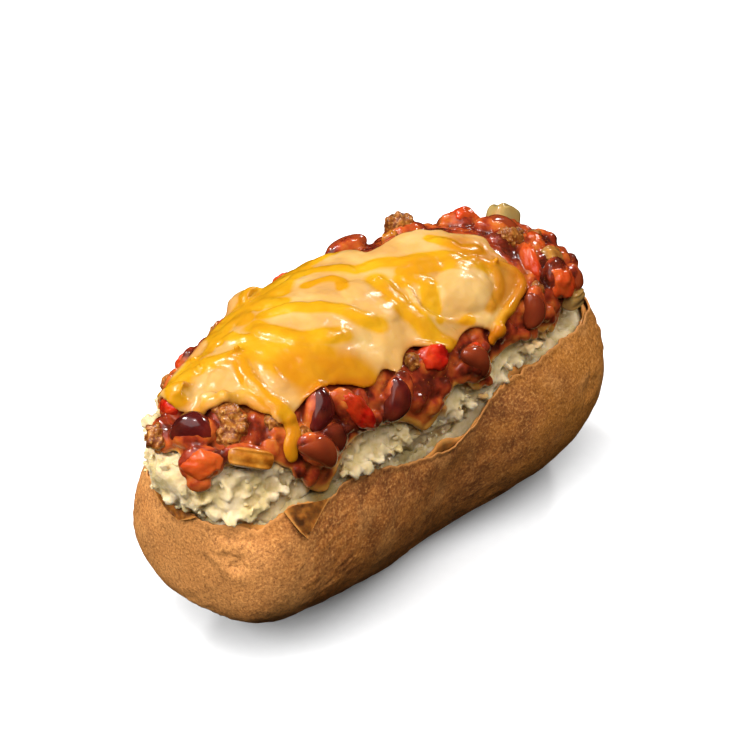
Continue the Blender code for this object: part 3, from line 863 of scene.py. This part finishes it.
def makeFlesh():
    around = 300
    angles = np.linspace(-180, 180, around, endpoint=False)
    rows = []
    for d in np.concatenate([np.linspace(35, 70, 14)[:-1], np.linspace(70, 128, 60)]):
        down = np.full_like(angles, d)
        rows.append(heapPoints(down, angles, fleshLift(down) + lumpLift(down, angles) - 1.3))
    points = np.concatenate(rows + [rows[0].mean(0, keepdims=True), rows[-1].mean(0, keepdims=True)])
    shells = [(points, [f[::-1] for f in closedRings(len(rows), around, True, True)])]
    for n, (side, height, out, radius) in enumerate(flesh["clumps"]):
        down = heightDown(np.array([side]), height)
        shells += clumpAt(potatoPoints(ballPoint(down, np.array([side])), -out)[0], radius, n + 50)
    for n, (d, side, out, radius) in enumerate(flesh["tufts"]):
        down = np.array([d])
        shells += clumpAt(heapPoints(down, np.array([side]), fleshLift(down) + out)[0], radius, n + 90)
    for n in range(flesh["lumpCount"]):
        side = rng.uniform(-180, 180)
        place = float(chiliEdgeDown(np.array([side]))[0]) + rng.uniform(-3, 36)
        size = rng.choice((1.2, 1.8, 2.6, 3.4), p=(0.35, 0.33, 0.22, 0.1))
        d, r = np.array([place]), np.array([side])
        lift = fleshLift(d) + lumpLift(d, r) - 0.45 * size - 0.5
        lump = crumbShell(heapPoints(d, r, lift)[0], size, n)
        if place < 122 and insideBox(lump[0]):
            shells.append(lump)
    points, faces = joinShells(shells)
    obj = piece("fluffedFlesh", points, faces, finishes["flesh"])
    meltTogether(obj, 0.55, 0)
    points = pointsOf(obj)
    crumb = 0.2 * grain(points, 2.2, 21, 3) + 0.2 * grain(points, 0.8, 23)
    movePoints(obj, points + normalsOf(obj) * crumb[:, None])
    paintFlesh(obj)
    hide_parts("flesh")
    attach(obj, "root")

    # what is left in the jacket, banked up from just under the lip
    around = 440
    angles = np.linspace(-180, 180, around, endpoint=False)
    places, heights = zip(*jacket["lip"])
    level = through(places, heights, angles) - flesh["belowLip"]
    fill = []
    for t in np.linspace(60, 120, 26):
        ring = potatoPoints(ballPoint(np.full_like(angles, t), angles), 1.9)
        ring[:, 2] = np.minimum(ring[:, 2], level)
        fill.append(ring)
    banked = np.linspace(0.56, 0.985, 40)
    rows = [fill[0] * np.array([s, s, 1]) + np.array([0, 0, flesh["bank"] * (1 - s)]) for s in banked] + fill
    points = np.concatenate(rows + [rows[0].mean(0, keepdims=True), rows[-1].mean(0, keepdims=True)])
    top = smoothStep(-0.2, -1.2, points[:, 2] - np.append(np.tile(level, len(rows)), (99, 99)))
    points[:, 2] += (1 - top) * (1.2 * grain(points, 3.5, 26, 3) + 1.5 * np.abs(grain(points, 1.6, 27)) - 0.5)
    faces = [f[::-1] for f in closedRings(len(rows), around, True, True)]
    obj = piece("fleshInTheJacket", points, faces, finishes["flesh"])
    paintFlesh(obj)
    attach(obj, "root")

    # small angular crumbs over the bare band, stuck together where they touch
    shells = []
    for n in range(flesh["crumbs"]):
        side = rng.uniform(-180, 180)
        edge = float(chiliEdgeDown(np.array([side]))[0])
        place = edge + rng.uniform(-4, 0) + abs(rng.normal(0, 12))
        size = rng.choice((0.6, 0.9, 1.4), p=(0.4, 0.4, 0.2))
        d, r = np.array([place]), np.array([side])
        lift = fleshLift(d) + lumpLift(d, r) - 0.2 * size + rng.uniform(-0.3, 0.4)
        crumb = crumbShell(heapPoints(d, r, lift)[0], size, n)
        if place < 118 and insideBox(crumb[0]):
            shells.append(crumb)
    points, faces = joinShells(shells)
    obj = piece("fleshCrumbs", points, faces, finishes["flesh"], smooth=False)
    paintFlesh(obj)
    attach(obj, "root")


makeFlesh()
print("flesh made")


# ---- pieces in the chili: where the solids are, and smaller ones between them

def seatOf(down, roundAngle, turn, lift):
    spots = heapPoints(np.array([down, down + 1.0, down]), np.array([roundAngle, roundAngle, roundAngle + 1.0]), lift)
    place, downhill, sideways = (Vector(spot) for spot in spots)
    normal = (downhill - place).cross(sideways - place).normalized()
    along = Matrix.Rotation(math.radians(turn), 3, normal) @ (downhill - place).normalized()
    return np.array(place), np.array(Matrix((along, normal.cross(along), normal)).transposed())


def solidSeat(name):
    # a solid's middle, its long, side and upward directions, and its half sizes
    points = pointsOf(cadNodes[name])
    middle = points.mean(0)
    along = np.linalg.svd(points - middle, full_matrices=False)[2][0]
    outward = (middle - np.array(heap["centre"]) - np.array([0, heap["bow"] / 2, 0])) / np.square(heap["half"])
    outward -= along * (outward @ along)
    outward /= np.linalg.norm(outward)
    side = np.cross(outward, along)
    local = (points - middle) @ np.stack([along, side, outward], 1)
    if local[np.abs(local[:, 0]) < 2, 1].mean() < local[np.abs(local[:, 0]) > 3, 1].mean():
        along, side, local = -along, -side, local * np.array([-1, -1, 1])
    half = (local.max(0) - local.min(0)) / 2
    axes = np.stack([along, side, outward], 1)
    return middle + axes @ ((local.max(0) + local.min(0)) / 2), axes, half


extraPieces = {  # smaller pieces made only here: down, round, turn, length, width, height, tint
    "bean": (
        (82, -36, -62, 7.5, 6, 5.5, 0.8), (79, -119, 39, 8.5, 6, 5, 0.3), (68, 40, 20, 9, 6.5, 5.5, 0.6),
        (72, 70, -40, 8.5, 6, 5.5, 0.3), (66, 98, 60, 9, 6, 5.5, 0.8),
    ),
    "tomato": (
        (79, -80, 2, 7.5, 5, 4.5, 0.5), (58, -11, -108, 9, 5.5, 5, 0.7), (80, 120, 30, 7, 5, 4, 0.5),
        (78, 60, 80, 8, 5, 4, 0.6), (66, 58, 20, 8, 5.5, 4.5, 0.4),
    ),
    "mince": (
        (51, -169, 20, 8, 7, 6, 0), (62, -159, 70, 8.5, 7, 6, 0.2), (58, -141, 10, 6, 5.5, 5, 0), (62, -93, 0, 6, 5, 4.5, 0),
        (72, -128, 30, 5, 4.5, 4, 0.5), (70, -50, 0, 5, 4, 4, 0.3), (78, 130, 0, 6, 5, 4, 0), (80, 40, 0, 7, 5, 5, 0),
        (84, 104, 50, 6, 5, 4.5, 0), (64, -2, 20, 6, 5, 4.5, 0.1),
    ),
    "onion": (
        (66, -26, 16, 8.5, 5, 4.5, 0.3), (44, 56, 10, 7, 4.5, 4, 0), (90, -40, 80, 9, 5, 4.5, 0.6),
        (82, 84, 20, 8, 4, 3.5, 0),
    ),
}
tints = {  # 0 is the kind's own colour, 1 its paler one
    "bean_1": 0.0, "bean_2": 0.75, "bean_3": 0.15, "bean_4": 0.0, "bean_5": 0.6, "bean_6": 0.6, "bean_7": 0.85,
    "bean_8": 1.0, "bean_9": 1.0, "tomato_1": 0.0, "tomato_2": 0.05, "tomato_3": 0.0, "tomato_4": 0.5,
    "tomato_5": 0.9, "tomato_6": 0.6, "tomato_7": 0.6, "tomato_8": 0.9, "mince_1": 0.2, "mince_3": 0.1,
    "onion_1": 0.0, "onion_2": 0.9,
}


def beanShape(seed, half):
    points, faces = balls[4]
    points = points.copy()
    points[:, 1] += 0.22 * (1 - 2 * points[:, 0] ** 2)
    points[:, 2] *= 1 - 0.06 * grain(points * 3, 2, seed)
    return fitted(points, half), faces


def fitted(points, half):
    low, high = points.min(0), points.max(0)
    return (points - (low + high) / 2) / ((high - low) / 2) * half


def tomatoShape(seed, half):
    points, faces = balls[4]
    knobs = grain(points, 0.8, seed, 2)
    folds = 0.16 * np.abs(grain(points * np.array([0.4, 1, 1]), 0.3, seed + 3))
    return fitted(points * (1 + 0.22 * knobs - folds)[:, None], half), faces


def onionShape(seed, half):
    points, faces = balls[4]
    shape = signedPower(points, 0.6)
    shape[:, 2] += 0.1 * np.sin(points[:, 1] * 10 + seed) - 0.3 * points[:, 0] ** 2
    return fitted(shape * (1 + 0.1 * grain(points, 0.9, seed))[:, None], half), faces


def minceShape(seed, half):
    # grains of meat stuck in a clump; they are melted into one skin once all are in place
    local = np.random.default_rng(seed)
    shells = []
    ball, faces = balls[2]
    for n in range(int(26 + half[0] * 10)):
        way = local.normal(size=3)
        way *= local.uniform(0.35, 0.82) ** 0.6 / np.linalg.norm(way)
        size = local.uniform(0.55, 1.25, 3)
        shells.append((ball * size + way * (half - 0.6), faces))
    shells.append((balls[3][0] * half * 0.72, balls[3][1]))
    return joinShells(shells)


kinds = {
    "bean": ("kidneyBeans", beanShape),
    "tomato": ("tomatoPieces", tomatoShape),
    "mince": ("minceCrumbles", minceShape),
    "onion": ("onionPieces", onionShape),
}
minceVoxel = 0.3
welling = {"bean": 0.85, "tomato": 0.7, "mince": 0.35, "onion": 0.6}  # how far up its sides the sauce reaches
seats = []  # middle, axes, half sizes and welling of every piece


def makePieces(kind):
    pieceName, shape = kinds[kind]
    shells, tint = [], []
    names = sorted(name for name in cadNodes if name.startswith(kind))
    places = [(*solidSeat(name), tints.get(name, 0.3)) for name in names]
    for down, roundAngle, turn, *size, paler in extraPieces[kind]:
        half = np.array(size) / 2
        lift = float(fleshLift(np.array([down]))[0]) + heap["layerGap"] + 1.2 + half[2]
        places.append((*seatOf(down, roundAngle, turn, lift), half, paler))
    for seed, (middle, axes, half, paler) in enumerate(places):
        seats.append((middle, axes, half, welling[kind]))
        points, faces = shape(seed * 3 + 1, half)
        shells.append((points @ axes.T + middle, faces))
        along = points[:, 0] / half[0]
        tint.append(np.clip(paler + 0.35 * along * (kind == "tomato") + 0.3 * grain(points, 3, seed), 0, 1))
    points, faces = joinShells(shells)
    tint = np.concatenate(tint)
    obj = piece(pieceName, points, faces, finishes[kind])
    if kind == "mince":
        before, tree = tint, KDTree(len(points))
        for i, p in enumerate(points):
            tree.insert(p, i)
        tree.balance()
        meltTogether(obj, minceVoxel, 1)
        tint = [before[tree.find(p)[1]] for p in pointsOf(obj)]
        # points sunk between the grains take more of the darker colour: painted shade
        grainGapShade = hollowness(obj, 6)
        tint = np.clip(np.array(tint) + np.clip(grainGapShade / 0.25, 0, 0.8), 0, 1)
    setValue(obj, "tint", tint)
    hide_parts(*names)
    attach(obj, "root")


for kind in kinds:
    makePieces(kind)
print("pieces made")


# ---- the chili

chili = {
    "voxel": 0.53,
    "smoothing": 4,
    "nodules": 240,  # small soft lumps under the sauce
}


def drapedShell(edge, underside, depth, around=420, rings=70, rimShare=0.2):
    # a closed soft sheet on the heap out to an outline; edge gives the angle down at each angle round
    angles = np.linspace(-180, 180, around, endpoint=False)
    rim = edge(angles)
    rows = []
    for t in np.linspace(0.02, 1, rings):
        down = rim * t
        full = (1 - t**10) ** (1 / 4)
        lip = rimShare * depth(down)
        rows.append(heapPoints(down, angles, underside(down) + lip + (depth(down) - lip) * full))
    for t in np.linspace(1, 0.02, rings // 2)[1:]:
        down = rim * t
        full = (1 - t**10) ** (1 / 4)
        rows.append(heapPoints(down, angles, underside(down) + rimShare * depth(down) * (1 - full)))
    points = np.concatenate(rows + [rows[0].mean(0, keepdims=True), rows[-1].mean(0, keepdims=True)])
    return points, [f[::-1] for f in closedRings(len(rows), around, True, True)]


def ragged(angles, coarse, fine, seed):
    circle = onCircle(angles, 45) * np.array([1, 0.6, 1])
    return coarse * grain(circle, 6, seed) + fine * grain(circle, 2.4, seed + 1)


def chiliRim(angles):
    return chiliEdgeDown(angles) + ragged(angles, 3.5, 1.8, 41)


def makeChili():
    def underside(down):
        return fleshLift(down) + heap["layerGap"] - 0.7

    shells = [drapedShell(chiliRim, underside, lambda down: chiliDepth(down) * 0.85 + 0.4, rimShare=0.3)]
    ball, faces = balls[3]
    for middle, axes, half, reach in seats:
        aside = axes[:, 0] * half[0] * rng.uniform(-0.3, 0.3) + axes[:, 1] * half[1] * rng.uniform(-0.35, 0.35)
        skirt = np.array([half[0] + 0.5, half[1] + 0.5, half[2] * 0.85])
        lowered = axes[:, 2] * half[2] * (0.95 - reach)
        shells.append((ball * skirt @ axes.T + middle + aside - lowered, faces))
    for n in range(chili["nodules"]):
        side = rng.uniform(-180, 180)
        rim = float(chiliRim(np.array([side]))[0])
        down = rim * (1 - rng.uniform(0.04, 0.42) ** 1.2)
        d = np.array([down])
        lift = float((fleshLift(d) + heap["layerGap"] + chiliDepth(d) * rng.uniform(0.45, 0.85))[0])
        middle, axes = seatOf(down, side, rng.uniform(0, 180), lift)
        size = np.array([rng.uniform(1.6, 3.4), rng.uniform(1.2, 2.6), rng.uniform(1.0, 1.9)])
        shells.append((ball * size @ axes.T + middle, faces))
    points, faces = joinShells(shells)
    obj = piece("chiliSauce", points, faces, finishes["chili"])
    meltTogether(obj, chili["voxel"], chili["smoothing"])
    points = pointsOf(obj)
    rough = 0.3 * grain(points, 3.5, 44) + 0.18 * grain(points, 1.4, 45)
    movePoints(obj, points + normalsOf(obj) * rough[:, None])
    down, roundAngle = heapAngles(points)
    standing = liftOver(points, down, roundAngle)
    thin = smoothStep(3.4, 0.8, standing + 1.2 * grain(points, 4, 46))
    setValue(obj, "thin", np.clip(thin + 0.6 * smoothStep(9, 0, chiliRim(roundAngle) - down), 0, 1))
    setValue(obj, "hollowShade", np.clip(hollowness(obj) / 0.7, 0, 1))
    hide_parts("chili")
    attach(obj, "root")


makeChili()
print("chili made")


# ---- the cheese

cheese = {
    "mostRise": 3.5,  # how far it rides up over a piece
    "voxel": 0.45,
    "smoothing": 5,
    "edge": (  # round, down: the sheet's own outline
        (-180, 57), (-174, 50), (-163, 49), (-152, 52), (-143, 56), (-136, 62), (-130, 54), (-124, 52), (-117, 55),
        (-111, 61), (-106, 63), (-103, 58), (-99, 63), (-95, 55), (-92, 52), (-89, 59), (-86, 67), (-80, 63),
        (-76, 64), (-73, 74), (-70, 70), (-64, 69), (-57, 63), (-47, 52), (-35, 41), (-15, 34), (-4, 28), (14, 26),
        (33, 22), (46, 16), (60, 17), (72, 26), (85, 44), (98, 56), (115, 60), (128, 58), (140, 62), (151, 69),
        (159, 64), (170, 60), (180, 57),
    ),
    # shreds: way over the heap as (down, round), half-width, height (0 is only colour), how yellow, how amber
    "shreds": (
        (((23, 147), (18, 158), (13, -172), (14, -136), (22, -110), (32, -99)), 2.5, 0.9, 1, 0),
        (((26, 155), (24, 174), (24, -164), (26, -146), (28, -131), (29, -118)), 2.6, 0.9, 1, 0),
        (((28, -178), (30, -160), (34, -142), (40, -128)), 6.5, 0, 1, 0.15),
        (((39, -134), (46, -124), (54, -114), (60, -111)), 6.5, 0, 0.9, 0.6),
        (((50, -128), (58, -118), (62, -109)), 4.5, 0, 0.7, 0.8),
        (((46, 153), (42, 157), (38, 164), (34, 173), (31, -178)), 2.6, 0.8, 1, 0),
        (((68, 150), (62, 150), (52, 151), (46, 155)), 2.4, 0.9, 0.9, 0.2),
        (((33, 172), (36, -176), (41, -162), (47, -150), (55, -139), (62, -134), (70, -132), (76, -133), (83, -132)),
         2.3, 1.2, 1, 0.25),
        (((57, 178), (52, -176), (48, -168), (46, -160), (49, -152), (54, -144)), 1.9, 1.0, 0.6, 0.1),
        (((26, 95), (21, 92), (12, 88), (4, 60)), 2.2, 0.8, 1, 0),
        (((14, 116), (8, 110), (3, 130), (4, -150)), 1.8, 0.7, 0.9, 0.2),
        (((4, 41), (8, -13), (14, -34), (23, -40), (30, -43)), 2.2, 0.9, 1, 0),
        (((20, -5), (24, -22), (28, -33), (35, -36)), 2.0, 0.9, 1, 0),
        (((14, -54), (20, -51), (26, -49), (34, -49), (40, -50)), 2.6, 0.8, 1, 0.2),
        (((7, -68), (15, -82), (25, -86), (34, -87), (44, -87), (56, -87), (66, -85)), 3.2, 1.0, 1, 0.15),
        (((16, -67), (18, -62), (26, -68), (31, -75), (38, -80)), 2.6, 0.9, 1, 0.1),
        (((19, -72), (28, -80), (36, -83), (48, -82), (60, -81)), 0.9, 1.3, 0.4, 0),
        (((47, -82), (52, -80), (58, -76)), 1.5, 1.0, 1, 0.2),
        (((42, -47), (50, -48), (60, -53), (65, -62), (68, -69), (72, -73), (79, -76)), 1.7, 1.3, 0.8, 0.6),
        (((34, -44), (44, -50), (54, -60), (60, -70)), 1.6, 0.8, 0.7, 0.7),
        (((29, -32), (36, -40), (44, -47), (53, -53), (63, -64)), 4.4, 0, 0.4, 0.7),
        (((12, -119), (16, -102), (23, -92)), 1.6, 0.8, 0, 0),
        (((8, -104), (10, -84), (16, -78)), 1.6, 0.8, 0, 0),
        (((34, -161), (40, -150), (46, -140)), 2.2, 0.6, 0, 0.1),
        (((40, 172), (45, 176), (52, -178)), 2.4, 0.9, 0.2, 0),
    ),
    "mounds": ((42, -66, 6.8, 1.8), (36, -58, 5.5, 1.2), (16, -95, 7, 0.8)),  # down, round, radius, rise
    "sags": ((36, -106, 5, 0.9), (54, -80, 3, 0.8)),
}


def wayOver(path):
    # even points on the unit ball along a smooth way through (down, round) pairs
    downs, sides = np.array(path, float).T
    knots = ballPoint(downs, sides)
    t = np.arange(len(knots))
    fine = np.linspace(0, len(knots) - 1, 30 * len(knots))
    ball = np.stack([through(t, knots[:, k], fine) for k in range(3)], -1)
    return ball / np.linalg.norm(ball, axis=1, keepdims=True)


def tubeShell(centres, normals, halfWidth, halfHeight):
    # a flattened strand along a line of points, with closed tapered ends
    along = np.gradient(centres, axis=0)
    along /= np.linalg.norm(along, axis=1, keepdims=True)
    side = np.cross(normals, along)
    side /= np.linalg.norm(side, axis=1, keepdims=True)
    up = np.cross(along, side)
    sides = 16
    turn = np.linspace(0, 2 * np.pi, sides, endpoint=False)
    t = np.linspace(-1, 1, len(centres))
    taper = (1 - np.abs(t) ** 5) ** (1 / 3) * 0.95 + 0.05
    taper *= 1 + 0.18 * grain(centres, 6, 57)
    rows = [
        c + w * np.outer(np.cos(turn) * halfWidth, s) + min(w, 1) * np.outer(np.sin(turn) * halfHeight, u)
        for c, s, u, w in zip(centres, side, up, taper)
    ]
    points = np.concatenate(rows + [centres[:1], centres[-1:]])
    return points, [f[::-1] for f in closedRings(len(rows), sides, True, True)]


def cheeseUnderside(down):
    return fleshLift(down) + heap["layerGap"] * 2 + chiliDepth(down) - 0.7


def cheeseRim(angles):
    places, downs = zip(*cheese["edge"])
    return through(places, downs, angles) + ragged(angles, 1.6, 1.0, 51)


def toppingTree():
    # the sauce and the pieces as one surface, for the cheese to lie on
    shells = []
    for obj in bpy.context.scene.objects:
        if obj.name in ("chiliSauce", *(name for name, _ in kinds.values())):
            shells.append((pointsOf(obj), [list(face.vertices) for face in obj.data.polygons]))
    points, faces = joinShells(shells)
    return BVHTree.FromPolygons(points.tolist(), faces)


def restingLift(tree, down, roundAngle, lift, softness):
    # the lift at which a sheet lies that is draped over the toppings: it never sinks under the lift given
    high, low = heapPoints(down, roundAngle, 14.0), heapPoints(down, roundAngle, -6.0)
    rest = np.empty(len(down))
    for i, (start, end) in enumerate(zip(high, low)):
        _, _, _, away = tree.ray_cast(Vector(start), Vector(end - start), 20)
        rest[i] = -6 if away is None else 14 - away
    rest = np.maximum(rest + 0.25, lift)
    for _ in range(softness):
        rest = np.maximum(rest * 0.3 + 0.35 * (np.roll(rest, 1) + np.roll(rest, -1)), lift)
    return rest


def makeCheese():
    sheet = heap["cheese"] - 0.9
    toppings = toppingTree()

    def underside(down):
        angles = np.linspace(-180, 180, len(down), endpoint=False)
        rest = restingLift(toppings, down, angles, cheeseUnderside(down), 6)
        return np.minimum(rest, cheeseUnderside(down) + cheese["mostRise"])

    shells = [drapedShell(cheeseRim, underside, lambda down: np.full_like(down, sheet), rimShare=0.3)]
    marks, paint = [], []  # points along the shreds, and what they paint on the sheet
    shreds = list(cheese["shreds"])
    for n in range(22):  # the far side, which the named shreds don't reach
        down, side, heading = rng.uniform(26, 52), rng.uniform(78, 142), rng.uniform(-1.2, 1.2)
        path = [(down + 4 * k * heading, side + k * 9) for k in range(4)]
        shreds.append((path, rng.uniform(1.6, 2.8), 0.8, float(rng.random() < 0.6), 0.1))
    for path, halfWidth, halfHeight, yellow, amber in shreds:
        down, roundAngle = ballAngles(wayOver(path))
        lift = restingLift(toppings, down, roundAngle, cheeseUnderside(down), 12)
        lift = np.minimum(lift, cheeseUnderside(down) + cheese["mostRise"]) + sheet - 0.25 * halfHeight
        lift -= (sheet - 0.5) * smoothStep(-2, 6, down - cheeseRim(roundAngle))
        top = heapPoints(down, roundAngle, lift)
        above = heapPoints(down, roundAngle, lift + 1)
        if halfHeight:
            shells.append(tubeShell(top, above - top, halfWidth, halfHeight))
        marks.append(top[::2])
        paint.append(np.tile((halfWidth, yellow, amber), (len(top[::2]), 1)))
    for down, roundAngle, radius, rise in cheese["mounds"]:
        lift = float(cheeseUnderside(np.array([down]))[0]) + sheet - 0.6
        middle, axes = seatOf(down, roundAngle, 20, lift)
        points, faces = balls[4]
        shells.append((points * np.array([radius * 1.2, radius, rise + 0.6]) @ axes.T + middle, faces))
    points, faces = joinShells(shells)
    obj = piece("meltedCheese", points, faces, finishes["cheese"])
    meltTogether(obj, cheese["voxel"], cheese["smoothing"])
    points = pointsOf(obj)
    normals = normalsOf(obj)
    ripple = 0.35 * grain(points, 5, 58) + 0.12 * grain(points, 2, 59)
    for down, roundAngle, radius, depth in cheese["sags"]:
        middle, _ = seatOf(down, roundAngle, 0, float(cheeseUnderside(np.array([down]))[0]) + sheet)
        ripple -= depth * np.exp(-((np.linalg.norm(points - middle, axis=1) / radius) ** 2))
    movePoints(obj, points + normals * ripple[:, None])

    # each point takes the strongest colour of the shreds near it
    marks, paint = np.concatenate(marks), np.concatenate(paint)
    wobble = 0.9 * grain(points, 6, 54)
    shred, thin = np.zeros(len(points)), np.zeros(len(points))
    for start in range(0, len(points), 4000):
        part = slice(start, start + 4000)
        away = np.linalg.norm(points[part, None] - marks[None], axis=2) + wobble[part, None]
        cover = smoothStep(1.5, 0.6, away / paint[None, :, 0])
        shred[part] = (cover * paint[None, :, 1]).max(1)
        soft = np.clip((paint[None, :, 0] * 1.5 - away) / (0.9 * paint[None, :, 0]), 0, 1)
        thin[part] = (soft * paint[None, :, 2]).max(1)
    down, roundAngle = heapAngles(points)
    # amber near the rim on the lower slopes: the sheet thins there over the chili, and painted shade
    rimThinningAndShade = smoothStep(6, -1, cheeseRim(roundAngle) - down) * smoothStep(42, 54, down)
    setValue(obj, "shred", shred)
    setValue(obj, "thin", np.clip(thin + 0.5 * rimThinningAndShade, 0, 1))
    setValue(obj, "hollowShade", np.clip(hollowness(obj) / 0.6, 0, 1))
    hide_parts("cheese")
    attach(obj, "root")


makeCheese()
print("cheese made")


# ---- floor, light and camera

studio = {
    "azimuth": -47.0,
    "elevation": 35.75,
    "distance": 0.7,
    "lens": 129.8,
    "target": (0, 0, 30),  # on the potato's own axes
    "aside": (-1.85, 19.78),  # how far right of and above the target the view is centred, in millimetres
    "air": 0.02,
    # azimuth, elevation, distance and width in metres, watts, and whether it glints on wet surfaces
    "lamps": {
        "leftSoftbox": (-112, 30, 1.2, 0.6, 12.5, False),
        "highSoftbox": (-42, 62, 1.2, 1.0, 19.5, False),
        "rightSoftbox": (40, 40, 1.2, 0.8, 3.8, False),
        "skySoftbox": (-120, 60, 1.0, 0.9, 4.0, True),
        "keyGlint": (-172, 48, 0.9, 0.11, 2.4, True),
        "edgeGlint": (98, 42, 0.9, 0.1, 2.0, True),
        "topGlint": (-150, 74, 0.9, 0.1, 1.2, True),
    },
}


def sideOf(azimuth, elevation):
    a, e = math.radians(azimuth), math.radians(elevation)
    return Vector((math.sin(a) * math.cos(e), -math.cos(a) * math.cos(e), math.sin(e)))


def makeStudio():
    floorFinish, tree, shader, place = newFinish("paleStudioFloor", {"Roughness": 0.8})
    grainOfPaper = pattern(tree, place, 3)
    tree.links.new(ramp(tree, grainOfPaper, (0.3, "#F3F3F3"), (0.7, "#F5F5F5")), shader.inputs["Base Color"])
    bpy.ops.mesh.primitive_plane_add(size=6, location=(0, 0, 0))
    floor = bpy.context.object
    floor.name = "studioFloor"
    floor.data.materials.append(floorFinish)
    floor.visible_glossy = False
    floor.visible_diffuse = False

    world = bpy.data.worlds.new("studioAir")
    bpy.context.scene.world = world
    world.use_nodes = True
    world.node_tree.nodes["Background"].inputs["Color"].default_value = (1, 1, 1, 1)
    world.node_tree.nodes["Background"].inputs["Strength"].default_value = studio["air"]
    world.cycles_visibility.glossy = False

    for name, (azimuth, elevation, distance, width, watts, glints) in studio["lamps"].items():
        light = bpy.data.lights.new(name, "AREA")
        light.size = width
        light.energy = watts
        lamp = bpy.data.objects.new(name, light)
        bpy.context.scene.collection.objects.link(lamp)
        lamp.location = sideOf(azimuth, elevation) * distance
        lamp.rotation_mode = "QUATERNION"
        lamp.rotation_quaternion = lamp.location.to_track_quat("Z", "Y")
        lamp.visible_glossy = glints

    back = sideOf(studio["azimuth"], studio["elevation"])
    right = Vector((math.cos(math.radians(studio["azimuth"])), math.sin(math.radians(studio["azimuth"])), 0))
    up = back.cross(right)
    target = Vector(toFrame([studio["target"]])[0])
    aim = target + (right * studio["aside"][0] + up * studio["aside"][1]) * 0.001
    lens = bpy.data.cameras.new("viewLens")
    lens.sensor_width = 36
    lens.lens = studio["lens"]
    lens.clip_start = 0.01
    camera = bpy.data.objects.new("viewCamera", lens)
    bpy.context.scene.collection.objects.link(camera)
    camera.location = target + back * studio["distance"]
    camera.rotation_mode = "QUATERNION"
    camera.rotation_quaternion = (camera.location - aim).to_track_quat("Z", "Y")
    bpy.context.scene.camera = camera
    bpy.context.scene.view_settings.view_transform = "Standard"


makeStudio()
print("studio set")
